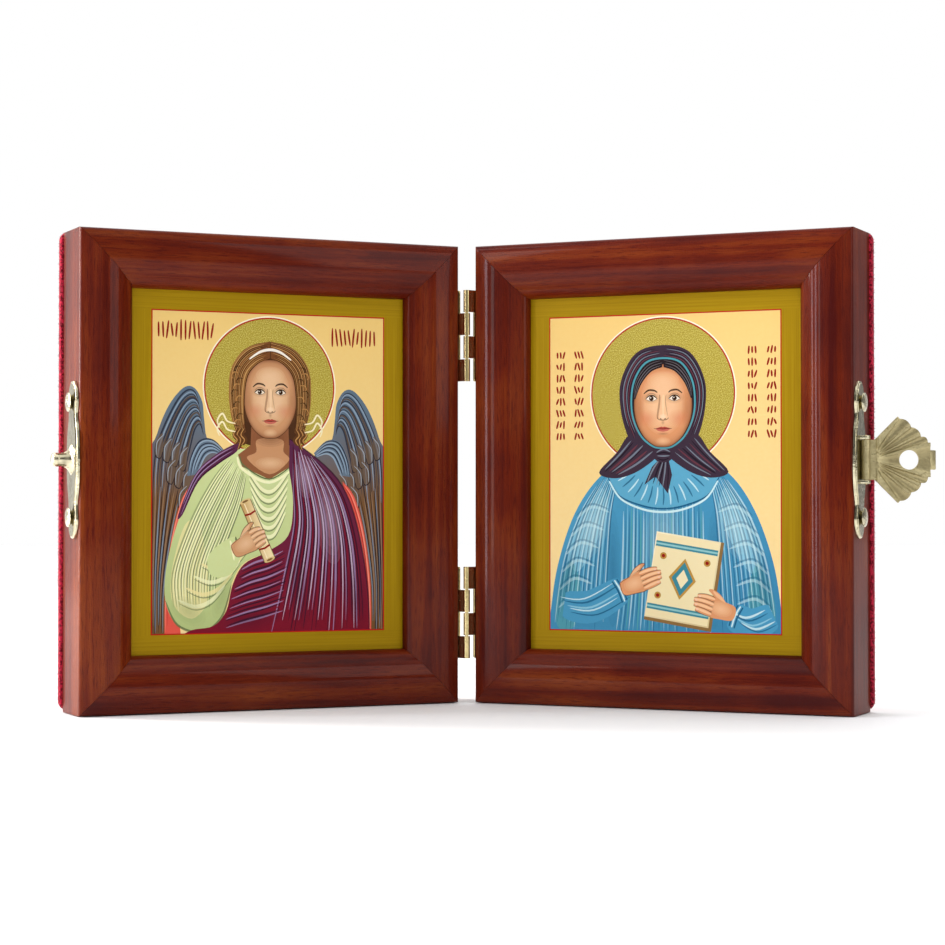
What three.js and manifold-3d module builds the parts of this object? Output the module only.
// Folding icon diptych: two mitred hardwood frames on two brass butt hinges, standing like an open book.
// Each leaf holds a printed panel and has a velvet back. A shell hasp on the right leaf closes over a
// knob on the left leaf. Millimetres, +Z up, the pictures facing -Y, the origin under the middle.
import * as THREE from 'three';
import { mergeVertices } from 'three/addons/utils/BufferGeometryUtils.js';
import Module from 'manifold-3d';

const wasm = await Module();
wasm.setup();

// The two leaves
const leafWidth = 108;
const leafHeight = 127;
const leafDepth = 17;
const openAngle = 130;
const railWidth = 15.1;
const mitreGap = 0.05;

// The moulded face of a rail, as depths below its crest
const arrisDepth = 0.95;
const arrisRadius = 1.0;
const arrisRise = 0.12;
const crestInset = 6.5;
const crestFullness = 2;
const coveInset = 12.6;
const coveDepth = 1.9;
const lipDepth = 5.0;
const lipFullness = 0.3;
const lipFall = 0.9;
const rebateDepth = 5.6;
const rebateLap = 4;

// Panel, print and back
const seatGap = 0.1;
const printThickness = 0.4;
const boardThickness = 6;
const boardPlay = 0.3;
const backThickness = 2.4;
const backOverhang = 0.8;
const backFootClearance = 0.4;
const backCornerRadius = 2.4;
const backEdgeRound = 0.7;

// Butt hinges, with the pin in front of the crests and between the two side faces
const pinToFace = 0.3;
const pinToSide = 1.8;
const hingeLength = 25.4;
const hingeSpacing = 77;
const hingeSheet = 0.5;
const knuckleCount = 4;
const knuckleRadius = 0.95;
const knuckleGap = 0.15;
const hingePinRadius = 0.45;
const pinClearance = 0.05;
const hingePlateStart = 1.6;
const hingePlateWidth = 8.8;
const hingeScrewSpacing = 15;

// Countersunk hinge screws
const smallHeadRadius = 1.3;
const smallHeadDepth = 0.5;
const smallHeadCrown = 0.24;
const smallDomeRadius = 0.78;
const smallDomeHeight = 0.2;
const smallShankRadius = 0.6;
const smallShankLength = 6;
const smallSlotWidth = 0.35;
const smallSlotDepth = 0.3;
const smallSlotTurns = [100, 35];

// Cast clasp plates on the two outer edges
const claspHeight = 66.5;
const claspInset = 5.4;
const claspLength = 41;
const claspWidth = 9.8;
const claspNeckWidth = 6.2;
const claspBossWidth = 7.2;
const claspEndWidth = 5.2;
const claspTipWidth = 2.2;
const claspThickness = 0.7;
const claspRim = 0.2;
const claspScrewSpacing = 30;

// Round-head clasp screws
const headRadius = 2.55;
const headHeight = 1.35;
const shankRadius = 1;
const shankLength = 8;
const shankPoint = 2;
const slotWidth = 0.7;
const slotDepth = 0.6;
const slotTurns = [125, 60];
const screwClearance = 0.05;

// Shell hasp, in its own axes: out from the pin, up, and away from the wood when it is closed
const haspOpenAngle = 114;
const haspPinHeight = 2.15;
const haspPinRadius = 0.5;
const haspPinPeek = 0.15;
const haspRollRadius = 1.2;
const haspRollLength = 10.4;
const haspSheet = 0.7;
const haspNeckLength = 2.4;
const haspBendDistance = 3;
const haspBendAngle = 4;
const haspHoleRadius = 2.55;
const haspHoleDistance = 11.5;
const shellFocus = 1;
const shellHalf = 11.1;
const shellEnd = 17.1;
const shellEndHalf = 4.5;
const shellEndDepth = 0.7;
const lobeSwell = 0.75;
const tabRoot = 0.6;
const tabLength = 1.9;
const tabWidth = 5.1;
const tabAngle = 55;
const shellRelief = 0.45;
const reliefStart = 2;
const reliefFull = 6;
const shellRibAngles = [16, 26, 39, 56];
const fanStart = 1.2;
const fanAngle = 75;
const earThickness = 0.9;
const earGap = 0.15;

// Knob on the left leaf
const knobHeight = 5.9;
const knobRadius = 1.85;
const knobFlare = 2.5;
const knobFlareLip = 0.2;
const knobBaseLength = 10.4;
const knobBaseWidth = 5.4;
const knobBaseRise = 1.1;

// Free outlines, as shares of the sizes above: of half a plate's length, of the shell's reach and half
// width, and of the knob's radius and height
const claspShares = { end: 0.93, boss: 0.76, neck: 0.56, shoulder: 0.34, middle: 0.12 };
const claspShoulderShare = 0.9;
const shellCorner = [0.497, 1];
const lobeJoints = [[0.526, 0.964], [0.702, 0.766], [0.854, 0.5405]];
const knobShares = [[1.12, 0.3], [0.94, 0.45], [0.94, 0.6], [1.05, 0.82], [0.9, 0.93], [0.5, 1], [0, 1.01]];

// Places worked out from the sizes above
const degree = Math.PI / 180;
const foldBack = (180 - openAngle) / 2 * degree;
const crestY = pinToFace;
const backY = crestY + leafDepth;
const hingeSideX = pinToSide;
const outerSideX = pinToSide + leafWidth;
const claspY = crestY + claspInset;
const claspBackX = outerSideX + seatGap;
const claspBedX = claspBackX + claspThickness / 2;
const haspPinX = outerSideX + haspPinHeight;
const hingeFaceX = pinToSide - seatGap - hingeSheet;
const hingeScrewY = hingePlateStart + hingePlateWidth / 2;
const hingeHeights = { upper: (leafHeight + hingeSpacing) / 2, lower: (leafHeight - hingeSpacing) / 2 };
const knuckleLength = (hingeLength - (knuckleCount - 1) * knuckleGap) / knuckleCount;
const knuckleBore = hingePinRadius + pinClearance;
const haspBore = haspPinRadius + pinClearance;
const overcut = 1;

const stainedWood = { color: 0x5e1a0e, roughness: 0.35, metalness: 0 };
const panelWood = { color: 0x8a6a45, roughness: 0.8, metalness: 0 };
const printedPaper = { color: 0xd9b96c, roughness: 0.5, metalness: 0 };
const redVelvet = { color: 0x8c0d1c, roughness: 1, metalness: 0 };
const brass = { color: 0xb89a4e, roughness: 0.3, metalness: 1 };

// A closed geometry as a solid that can be joined and cut
function solidOf(geometry) {
  const plain = geometry.index ? geometry.toNonIndexed() : geometry.clone();
  plain.deleteAttribute('normal');
  plain.deleteAttribute('uv');
  const merged = mergeVertices(plain, 1e-4);
  const vertProperties = new Float32Array(merged.attributes.position.array);
  const triVerts = new Uint32Array(merged.index.array);
  return new wasm.Manifold(new wasm.Mesh({ numProp: 3, vertProperties, triVerts }));
}

function geometryOf(solid) {
  const mesh = solid.getMesh();
  const geometry = new THREE.BufferGeometry();
  geometry.setAttribute('position', new THREE.BufferAttribute(new Float32Array(mesh.vertProperties), 3));
  geometry.setIndex(new THREE.BufferAttribute(new Uint32Array(mesh.triVerts), 1));
  return geometry;
}

function join(...geometries) {
  return geometryOf(geometries.map(solidOf).reduce((whole, next) => whole.add(next)));
}

function cut(geometry, ...tools) {
  return geometryOf(tools.map(solidOf).reduce((whole, tool) => whole.subtract(tool), solidOf(geometry)));
}

// Change every point of a geometry, turning its faces over where the change mirrors it
function reshape(geometry, place, mirrors = false) {
  const plain = geometry.index ? geometry.toNonIndexed() : geometry.clone();
  plain.deleteAttribute('normal');
  plain.deleteAttribute('uv');
  const position = plain.attributes.position;
  const point = new THREE.Vector3();
  const corners = [];
  for (let i = 0; i < position.count; i += 1) {
    point.fromBufferAttribute(position, i);
    corners.push(place(point.clone()));
  }
  for (let i = 0; i < corners.length; i += 3) {
    const order = mirrors ? [i, i + 2, i + 1] : [i, i + 1, i + 2];
    order.forEach((from, k) => position.setXYZ(i + k, corners[from].x, corners[from].y, corners[from].z));
  }
  return mergeVertices(plain, 1e-5);
}

function mirrored(geometry) {
  return reshape(geometry, (p) => p.setX(-p.x), true);
}

function extrude(shape, depth, options = {}) {
  return new THREE.ExtrudeGeometry(shape, { depth, bevelEnabled: false, curveSegments: 6, ...options });
}

function rod(radius, length, sides = 20) {
  return new THREE.CylinderGeometry(radius, radius, length, sides);
}

// A rod along Z, centred at a point
function uprightRod(radius, length, x, y, z, sides = 20) {
  return rod(radius, length, sides).rotateX(Math.PI / 2).translate(x, y, z);
}

function box(x0, x1, y0, y1, z0, z1) {
  const geometry = new THREE.BoxGeometry(x1 - x0, y1 - y0, z1 - z0);
  return geometry.translate((x0 + x1) / 2, (y0 + y1) / 2, (z0 + z1) / 2);
}

// The section of a rail: x runs in from the outer edge and y down from the crest
function railSection() {
  const shape = new THREE.Shape();
  const shoulder = arrisDepth + arrisRadius;
  shape.moveTo(0, leafDepth);
  shape.lineTo(0, shoulder);
  shape.quadraticCurveTo(0, arrisDepth, arrisRadius, arrisDepth - arrisRise);
  shape.quadraticCurveTo(crestInset / 2, 0, crestInset, 0);
  shape.quadraticCurveTo(coveInset - crestFullness, 0, coveInset, coveDepth);
  shape.quadraticCurveTo(railWidth - lipFullness, coveDepth + lipFall, railWidth, lipDepth);
  shape.lineTo(railWidth, rebateDepth);
  shape.lineTo(railWidth - rebateLap, rebateDepth);
  shape.lineTo(railWidth - rebateLap, leafDepth);
  return shape;
}

// A rail of a given outer length with both ends mitred, placed by a function of run, inset and depth
function mitredRail(length, place, mirrors) {
  const stretch = (p) => {
    const run = THREE.MathUtils.lerp(p.x + mitreGap, length - p.x - mitreGap, p.z);
    return place(run, p.x, crestY + p.y);
  };
  return reshape(extrude(railSection(), 1, { curveSegments: 5 }), stretch, mirrors);
}

// Heights of a plate's two screws, the upper one first
function claspScrewHeights() {
  return [claspHeight + claspScrewSpacing / 2, claspHeight - claspScrewSpacing / 2];
}

function hingeScrewHeights(middle) {
  return [middle + hingeScrewSpacing / 2, middle - hingeScrewSpacing / 2];
}

// A drill lying across the leaf, centred at a point
function crossRod(radius, length, x, y, z) {
  return rod(radius, length, 16).rotateZ(Math.PI / 2).translate(x, y, z);
}

// A drilled hole that runs inward from a side face
function drillHole(radius, length, sideX, inward, y, z) {
  return crossRod(radius, length + overcut, sideX + inward * (length - overcut) / 2, y, z);
}

function leafRails() {
  const vec = (x, y, z) => new THREE.Vector3(x, y, z);
  const bottom = mitredRail(leafWidth, (run, inset, y) => vec(hingeSideX + run, y, inset), true);
  const top = mitredRail(leafWidth, (run, inset, y) => vec(hingeSideX + run, y, leafHeight - inset), false);
  const outer = mitredRail(leafHeight, (run, inset, y) => vec(outerSideX - inset, y, run), true);
  const hinge = mitredRail(leafHeight, (run, inset, y) => vec(hingeSideX + inset, y, run), false);
  const bigHole = shankRadius + screwClearance;
  const bigReach = shankLength + 2 * screwClearance;
  const claspHoles = claspScrewHeights().map((z) => drillHole(bigHole, bigReach, outerSideX, -1, claspY, z));
  const smallHole = smallShankRadius + screwClearance;
  const smallReach = smallShankLength + 2 * screwClearance;
  const hingeHoles = Object.values(hingeHeights).flatMap(hingeScrewHeights)
    .map((z) => drillHole(smallHole, smallReach, hingeSideX, 1, hingeScrewY, z));
  return { top, bottom, outer: cut(outer, ...claspHoles), hinge: cut(hinge, ...hingeHoles) };
}

// The printed sheet and the board behind it lie in the rebate, with a little play at their edges
function rebateSheet(front, thickness) {
  const inset = railWidth - rebateLap + boardPlay;
  const y0 = crestY + front;
  return box(hingeSideX + inset, outerSideX - inset, y0, y0 + thickness, inset, leafHeight - inset);
}

function printedSheet() {
  return rebateSheet(rebateDepth + seatGap, printThickness);
}

function board() {
  return rebateSheet(rebateDepth + seatGap + printThickness + seatGap, boardThickness);
}

// The velvet-covered back is a little larger than the frame and clear of the ground
function velvetBack() {
  const left = hingeSideX - backOverhang + backEdgeRound;
  const right = outerSideX + backOverhang - backEdgeRound;
  const low = backFootClearance + backEdgeRound;
  const high = leafHeight + backOverhang / 2 - backEdgeRound;
  const r = backCornerRadius - backEdgeRound;
  const shape = new THREE.Shape();
  shape.absarc(right - r, high - r, r, 0, 90 * degree);
  shape.absarc(left + r, high - r, r, 90 * degree, 180 * degree);
  shape.absarc(left + r, low + r, r, 180 * degree, 270 * degree);
  shape.absarc(right - r, low + r, r, 270 * degree, 360 * degree);
  const rounded = { bevelEnabled: true, bevelThickness: backEdgeRound, bevelSize: backEdgeRound };
  const steps = { bevelSegments: 2, curveSegments: 3 };
  const flat = extrude(shape, backThickness - 2 * backEdgeRound, { ...rounded, ...steps });
  return flat.rotateX(Math.PI / 2).translate(0, backY + seatGap + backThickness - backEdgeRound, 0);
}

// A profile of radius, height points turned on the lathe
function lathe(profile, sides) {
  return new THREE.LatheGeometry(profile.map(([r, h]) => new THREE.Vector2(r, h)), sides);
}

// A quarter of a circle of radius 1 as a lathe's profile, from its foot to its top
function quarterArc(steps) {
  const points = [];
  for (let i = 0; i < steps; i += 1) {
    const a = i / steps * 90 * degree;
    points.push([Math.cos(a), Math.sin(a)]);
  }
  return [...points, [0, 1]];
}

// A screw with its head towards +X and its seat at the origin; the slot is cut across its crown
function screw(profile, crown, slotW, slotD, turn, sides) {
  const widest = Math.max(...profile.map(([r]) => r));
  const tall = slotD + crown;
  const slot = new THREE.BoxGeometry(3 * widest, tall, slotW).translate(0, crown - slotD + tall / 2, 0);
  slot.rotateY(turn * degree);
  return cut(lathe(profile, sides), slot).rotateZ(-Math.PI / 2);
}

function claspScrewProfile() {
  const points = [[0, -shankLength]];
  points.push([shankRadius / 2, -shankLength + shankPoint / 2]);
  points.push([shankRadius, -shankLength + shankPoint]);
  points.push([shankRadius, 0]);
  return points.concat(quarterArc(5).map(([r, h]) => [headRadius * r, headHeight * h]));
}

function hingeScrewProfile(grow = 0) {
  const shank = smallShankRadius + grow;
  const points = [[0, -smallShankLength], [shank, -smallShankLength + shank], [shank, -smallHeadDepth]];
  points.push([smallHeadRadius + grow, 0]);
  points.push([smallDomeRadius + grow, smallDomeHeight]);
  points.push([0, smallHeadCrown]);
  return points;
}

// One plate of a hinge: a flat sheet on the side face, and straps that curl round the pin as knuckles
function hingePlate(middle, ownKnuckles) {
  const outerFace = hingeFaceX + hingeSheet;
  const bottom = middle - hingeLength / 2;
  const back = hingePlateStart + hingePlateWidth;
  const plate = box(hingeFaceX, outerFace, hingePlateStart, back, bottom, bottom + hingeLength);
  const strap = new THREE.Shape();
  strap.moveTo(knuckleRadius - hingeSheet, 0);
  strap.lineTo(knuckleRadius, 0);
  strap.lineTo(knuckleRadius, hingePlateStart / 3);
  strap.lineTo(outerFace, hingePlateStart);
  strap.lineTo(outerFace, hingePlateStart + hingeSheet);
  strap.lineTo(hingeFaceX, hingePlateStart + hingeSheet);
  strap.lineTo(knuckleRadius - hingeSheet, hingePlateStart / 2);
  const pieces = [plate];
  for (const index of ownKnuckles) {
    const low = bottom + index * (knuckleLength + knuckleGap);
    pieces.push(extrude(strap, knuckleLength).translate(0, 0, low));
    pieces.push(uprightRod(knuckleRadius, knuckleLength, 0, 0, low + knuckleLength / 2, 18));
  }
  const bore = uprightRod(knuckleBore, hingeLength + 2 * overcut, 0, 0, middle, 18);
  const sinks = hingeScrewHeights(middle).map((z) => {
    const sink = lathe(hingeScrewProfile(screwClearance), 12).rotateZ(Math.PI / 2);
    return sink.translate(hingeFaceX, hingeScrewY, z);
  });
  return cut(join(...pieces), bore, ...sinks);
}

// Outline of a clasp plate: a smooth baluster about its middle
function claspOutline() {
  const half = claspLength / 2;
  const { end, boss, neck, shoulder, middle } = claspShares;
  const stations = [[1, claspTipWidth], [end, claspEndWidth], [boss, claspBossWidth],
    [neck, claspNeckWidth], [shoulder, claspWidth * claspShoulderShare], [middle, claspWidth]];
  const right = stations.map(([share, width]) => new THREE.Vector2(width / 2, half * share));
  const lower = right.slice().reverse().map((p) => new THREE.Vector2(p.x, -p.y));
  const rightSide = right.concat(lower);
  const leftSide = rightSide.slice().reverse().map((p) => new THREE.Vector2(-p.x, p.y));
  const shape = new THREE.Shape();
  shape.moveTo(rightSide[0].x, rightSide[0].y);
  shape.splineThru(rightSide.slice(1));
  shape.lineTo(leftSide[0].x, leftSide[0].y);
  shape.splineThru(leftSide.slice(1));
  return shape;
}

// A clasp plate lying on an outer side face: the outline's x runs back and its y runs up
function claspPlate() {
  const bevel = { bevelEnabled: true, bevelThickness: claspRim, bevelSize: claspRim, bevelOffset: -claspRim };
  const steps = { bevelSegments: 1, curveSegments: 2 };
  const flat = extrude(claspOutline(), claspThickness - claspRim, { ...bevel, ...steps });
  const sheet = reshape(flat, (p) => new THREE.Vector3(p.z, claspY + p.x, claspHeight + p.y));
  const lifted = sheet.translate(claspBackX, 0, 0);
  const trim = box(claspBackX - overcut, claspBackX, claspY - claspWidth, claspY + claspWidth,
    claspHeight - claspLength, claspHeight + claspLength);
  const holeRadius = shankRadius + screwClearance;
  const holeLength = claspThickness + 2 * overcut;
  const holes = claspScrewHeights().map((z) => crossRod(holeRadius, holeLength, claspBedX, claspY, z));
  return cut(lifted, trim, ...holes);
}

// Two ears on the hasp's plate hold the ends of its pin
function hingedClaspPlate() {
  const ears = [1, -1].flatMap((side) => {
    const middle = claspHeight + side * (haspRollLength / 2 + earGap + earThickness / 2);
    const foot = box(claspBedX, haspPinX, claspY - haspRollRadius, claspY + haspRollRadius,
      middle - earThickness / 2, middle + earThickness / 2);
    return [foot, uprightRod(haspRollRadius, earThickness, haspPinX, claspY, middle, 24)];
  });
  const boreLength = haspRollLength + 2 * (earGap + earThickness + overcut);
  const bore = uprightRod(haspBore, boreLength, haspPinX, claspY, claspHeight);
  return cut(join(claspPlate(), ...ears), bore);
}

// The knob is a turned post on an oval mound, and the hasp's hole passes over it
function knobPlate() {
  const half = claspThickness / 2;
  const mound = lathe([[0, 0], ...quarterArc(6)], 20);
  mound.scale(knobBaseWidth / 2, knobBaseRise + half, knobBaseLength / 2);
  const flare = [[0, 0], [knobFlare, 0], [knobFlare, half + knobFlareLip]];
  const post = lathe(flare.concat(knobShares.map(([r, h]) => [knobRadius * r, knobHeight * h])), 18);
  const raised = [mound, post].map((g) => g.rotateZ(-Math.PI / 2).translate(claspBedX, claspY, claspHeight));
  return join(claspPlate(), ...raised);
}

// Outline of the hasp: straight splayed edges, then scalloped lobes and a square end
function haspOutline() {
  const neck = haspRollLength / 2;
  const [corner, ...rim] = [shellCorner, ...lobeJoints]
    .map(([out, up]) => new THREE.Vector2(out * shellEnd, up * shellHalf));
  rim.push(new THREE.Vector2(shellEnd - shellEndDepth, shellEndHalf));
  const upper = [new THREE.Vector2(0, neck), new THREE.Vector2(haspNeckLength, neck), corner, rim[0]];
  for (let i = 1; i < rim.length; i += 1) {
    const along = rim[i].clone().sub(rim[i - 1]).normalize();
    const outward = new THREE.Vector2(-along.y, along.x);
    const bulge = rim[i].clone().add(rim[i - 1]).multiplyScalar(0.5).addScaledVector(outward, 2 * lobeSwell);
    upper.push(...new THREE.QuadraticBezierCurve(rim[i - 1], bulge, rim[i]).getPoints(5).slice(1));
  }
  upper.push(new THREE.Vector2(shellEnd, shellEndHalf));
  const lower = upper.slice().reverse().map((p) => new THREE.Vector2(p.x, -p.y));
  return new THREE.Shape(upper.concat(lower));
}

// How far the shell stands away from the pin's plane, at a point given from its focus
function shellLift(radius, angle) {
  const limits = [-shellRibAngles[0], ...shellRibAngles].map((a) => a * degree);
  const size = Math.abs(angle);
  let lobe = 0;
  while (lobe + 2 < limits.length && size > limits[lobe + 1]) lobe += 1;
  const share = THREE.MathUtils.clamp((size - limits[lobe]) / (limits[lobe + 1] - limits[lobe]), 0, 1);
  const fade = THREE.MathUtils.smoothstep(radius, reliefStart, reliefFull);
  const pastBend = shellFocus + radius * Math.cos(angle) - haspBendDistance;
  const bend = Math.max(0, pastBend) * Math.tan(haspBendAngle * degree);
  return bend + shellRelief * fade * Math.sqrt(Math.sin(Math.PI * share));
}

// The pressed sheet of the shell, as a fan that is bent out of a thin box before its outline is cut
function shellSheet() {
  const limits = [...shellRibAngles.slice().reverse().map((a) => -a), ...shellRibAngles];
  const stepsPerLobe = 3;
  const angles = [-fanAngle * degree];
  for (let i = 0; i + 1 < limits.length; i += 1) {
    for (let k = 0; k < stepsPerLobe; k += 1) {
      angles.push(THREE.MathUtils.lerp(limits[i], limits[i + 1], k / stepsPerLobe) * degree);
    }
  }
  angles.push(limits[limits.length - 1] * degree, fanAngle * degree);
  const between = [1 / 3, 2 / 3].map((share) => THREE.MathUtils.lerp(reliefStart, reliefFull, share));
  const radii = [fanStart, reliefStart, ...between, reliefFull, shellEnd + fanStart];
  const outSteps = radii.length - 1;
  const turnSteps = angles.length - 1;
  const flat = new THREE.BoxGeometry(outSteps, 1, turnSteps, outSteps, 1, turnSteps);
  flat.translate(outSteps / 2, 0, turnSteps / 2);
  return reshape(flat, (p) => {
    const radius = radii[Math.round(p.x)];
    const angle = angles[Math.round(p.z)];
    const face = haspRollRadius - (p.y < 0 ? haspSheet : 0);
    const x = shellFocus + radius * Math.cos(angle);
    return new THREE.Vector3(x, face + shellLift(radius, angle), radius * Math.sin(angle));
  });
}

// The hasp lies along X from its pin, with its outer side towards +Y
function hasp() {
  const tall = shellEnd;
  const outline = extrude(haspOutline(), tall).rotateX(Math.PI / 2).translate(0, tall / 2, 0);
  const fan = geometryOf(solidOf(shellSheet()).intersect(solidOf(outline)));
  const inner = haspRollRadius - haspSheet;
  const half = haspRollLength / 2;
  const neck = box(0, haspBendDistance, inner, haspRollRadius, -half, half);
  const roll = uprightRod(haspRollRadius, haspRollLength, 0, 0, 0, 28);
  const rise = haspRollRadius + shellLift(shellEnd - shellFocus, 0);
  const tab = box(0, tabLength, -haspSheet, 0, -tabWidth / 2, tabWidth / 2).rotateZ(tabAngle * degree);
  tab.translate(shellEnd - tabRoot, rise, 0);
  const bore = uprightRod(haspBore, haspRollLength + 2 * overcut, 0, 0, 0, 24);
  const hole = rod(haspHoleRadius, tall, 32).translate(haspHoleDistance, 0, 0);
  return cut(join(fan, neck, roll, tab), bore, hole);
}

const materials = { stainedWood, panelWood, printedPaper, redVelvet, brass };
for (const [slot, look] of Object.entries(materials)) materials[slot] = new THREE.MeshStandardMaterial(look);

function named(name, geometry, slot) {
  const mesh = new THREE.Mesh(geometry, materials[slot]);
  mesh.name = name;
  return mesh;
}

const diptych = new THREE.Group();
const turnOf = { left: foldBack, right: -foldBack };

// What both leaves have, made for the right leaf and mirrored for the left
function leaf(side) {
  const group = new THREE.Group();
  const handed = side === 'left' ? mirrored : (geometry) => geometry;
  const add = (name, geometry, slot) => group.add(named(`${side}_${name}`, handed(geometry), slot));
  for (const [place, geometry] of Object.entries(leafRails())) add(`rail_${place}`, geometry, 'stainedWood');
  add('print', printedSheet(), 'printedPaper');
  add('board', board(), 'panelWood');
  add('velvet_back', velvetBack(), 'redVelvet');
  for (const [which, middle] of Object.entries(hingeHeights)) {
    const first = side === 'left' ? 0 : 1;
    const own = [...Array(knuckleCount).keys()].filter((index) => index % 2 === first);
    add(`${which}_hinge_plate`, hingePlate(middle, own), 'brass');
    hingeScrewHeights(middle).forEach((z, index) => {
      const turn = smallSlotTurns[index];
      const fitted = screw(hingeScrewProfile(), smallHeadCrown, smallSlotWidth, smallSlotDepth, turn, 12);
      const towardsPin = mirrored(fitted).translate(hingeFaceX, hingeScrewY, z);
      add(`${which}_hinge_screw_${index + 1}`, towardsPin, 'brass');
    });
  }
  claspScrewHeights().forEach((z, index) => {
    const fitted = screw(claspScrewProfile(), headHeight, slotWidth, slotDepth, slotTurns[index], 16);
    fitted.translate(claspBackX + claspThickness + seatGap, claspY, z);
    add(`clasp_screw_${index + 1}`, fitted, 'brass');
  });
  if (side === 'left') add('knob_plate', knobPlate(), 'brass');
  else add('hasp_plate', hingedClaspPlate(), 'brass');
  group.rotation.z = turnOf[side];
  return group;
}

const rightLeaf = leaf('right');
const haspPinLength = haspRollLength + 2 * (earGap + earThickness + haspPinPeek);
const haspPin = uprightRod(haspPinRadius, haspPinLength, haspPinX, claspY, claspHeight);
rightLeaf.add(named('hasp_pin', haspPin, 'brass'));
const haspMesh = named('hasp', hasp(), 'brass');
haspMesh.position.set(haspPinX, claspY, claspHeight);
haspMesh.rotation.z = (haspOpenAngle - 90) * degree;
rightLeaf.add(haspMesh);
diptych.add(leaf('left'), rightLeaf);

for (const [which, middle] of Object.entries(hingeHeights)) {
  diptych.add(named(`${which}_hinge_pin`, uprightRod(hingePinRadius, hingeLength, 0, 0, middle), 'brass'));
}

// The origin goes under the middle of the whole object
const extent = new THREE.Box3().setFromObject(diptych, true);
const middle = extent.getCenter(new THREE.Vector3());
diptych.position.set(-middle.x, -middle.y, -extent.min.z);

export default diptych;
